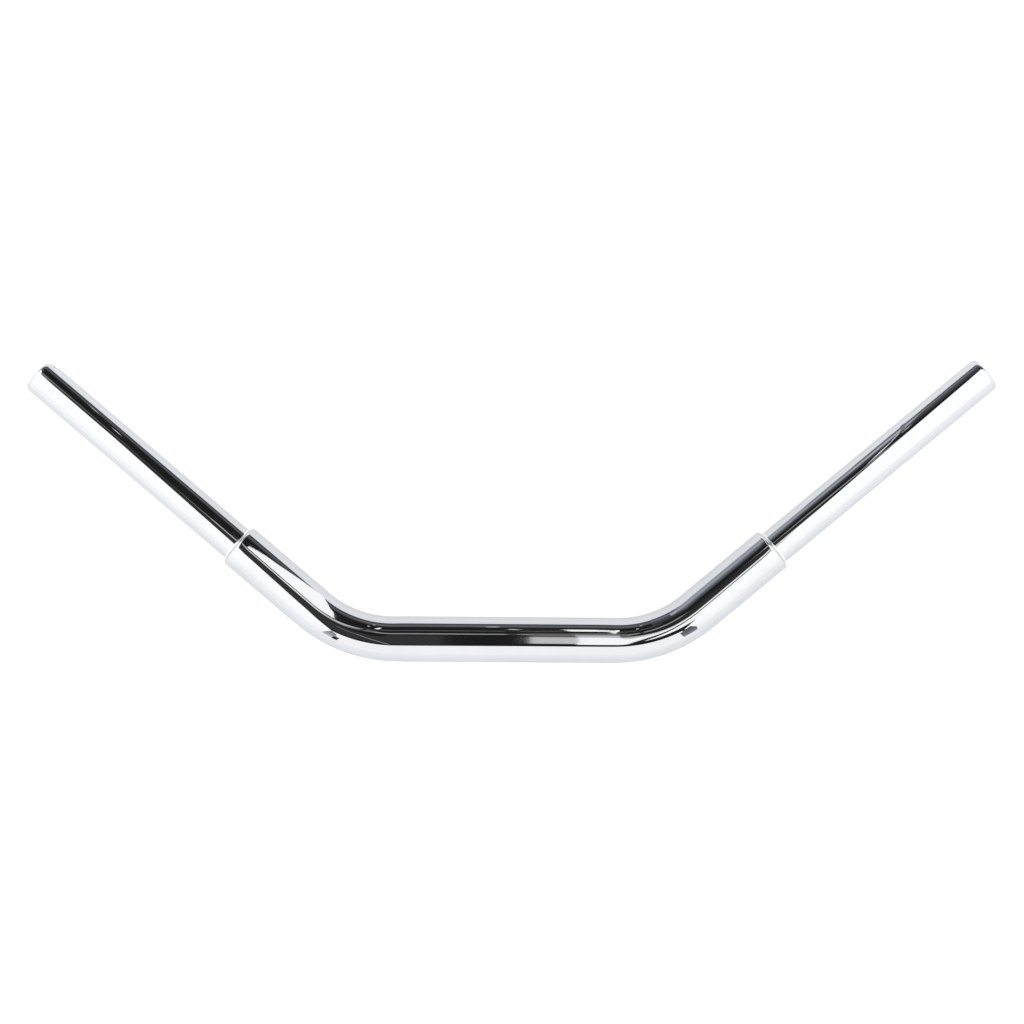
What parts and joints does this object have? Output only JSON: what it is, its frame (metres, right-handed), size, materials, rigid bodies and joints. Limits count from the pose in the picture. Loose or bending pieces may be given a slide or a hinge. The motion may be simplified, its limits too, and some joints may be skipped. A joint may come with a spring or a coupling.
{
  "type": "motorcycle handlebar",
  "caption": "Bare chrome motorcycle handlebar: a fat centre tube bent up on each side, stepping down at rounded, welded shoulders to thinner straight tubes with open ends.",
  "frame": {"origin": "on the axis of the centre tube, halfway between the two bends, where the riser clamps hold the bar", "axes": "+X along the centre tube towards the clutch-side (right in the picture) end, +Y in the plane of the bar, the way both arms sweep, +Z square to the plane of the bar"},
  "size_m": [0.6746, 0.2127, 0.0318],
  "materials": {
    "main_tube": "polished, bright, mirror-like plating on steel tube; plain steel inside the bore",
    "end_tubes": "polished, bright, mirror-like plating on steel tube; plain steel inside the bore",
    "weld_fillets": "ground, polished and plated weld"
  },
  "bodies": {
    "root": {"main_tube": "main_tube", "end_tube_left": "end_tubes", "end_tube_right": "end_tubes", "weld_fillet_left": "weld_fillets", "weld_fillet_right": "weld_fillets"}
  },
  "joints": []
}
